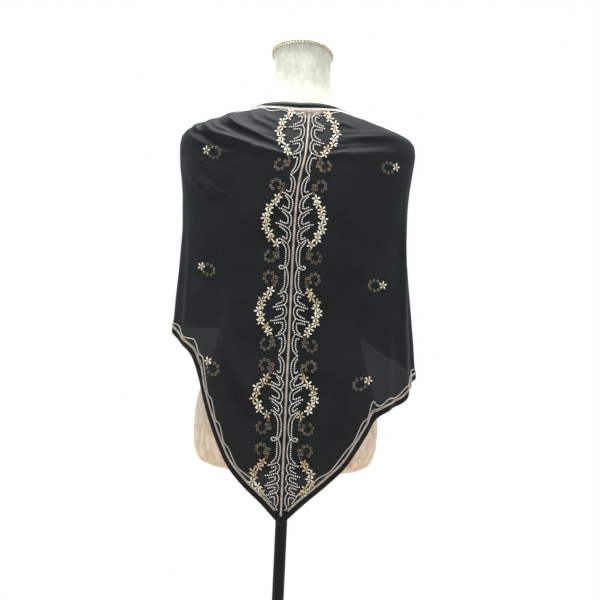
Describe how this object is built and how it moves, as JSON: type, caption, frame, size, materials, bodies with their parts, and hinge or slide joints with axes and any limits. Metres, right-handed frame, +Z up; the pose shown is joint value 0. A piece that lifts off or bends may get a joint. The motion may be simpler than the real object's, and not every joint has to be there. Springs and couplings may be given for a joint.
{
  "type": "evening stole on a dress form",
  "caption": "Triangular sheer chiffon evening stole with a beaded spine and bound edges, worn round the shoulders of a limbless dress form on a round-based pole stand.",
  "frame": {"origin": "centre of the base's underside, on the pole's axis and on the floor", "axes": "+Z up along the pole, +Y towards the front of the form, -X towards the form's left; the beaded back faces -Y"},
  "size_m": [0.451, 0.33, 1.5166],
  "materials": {
    "chiffon": "sheer matt",
    "satin_binding": "soft satin",
    "beadwork": "polished beads",
    "velvet_cover": "crushed pile",
    "gold_braid": "metallic thread",
    "black_steel": "satin"
  },
  "bodies": {
    "root": {"chiffon_back": "chiffon", "chiffon_right_end": "chiffon", "chiffon_left_end": "chiffon", "binding_neck_edge": "satin_binding", "binding_hem_right": "satin_binding", "binding_hem_left": "satin_binding", "bead_spine": "beadwork", "form_torso": "velvet_cover", "form_neck_braid": "gold_braid", "stand_flange": "black_steel", "stand_pole": "black_steel", "stand_base": "black_steel"}
  },
  "joints": []
}
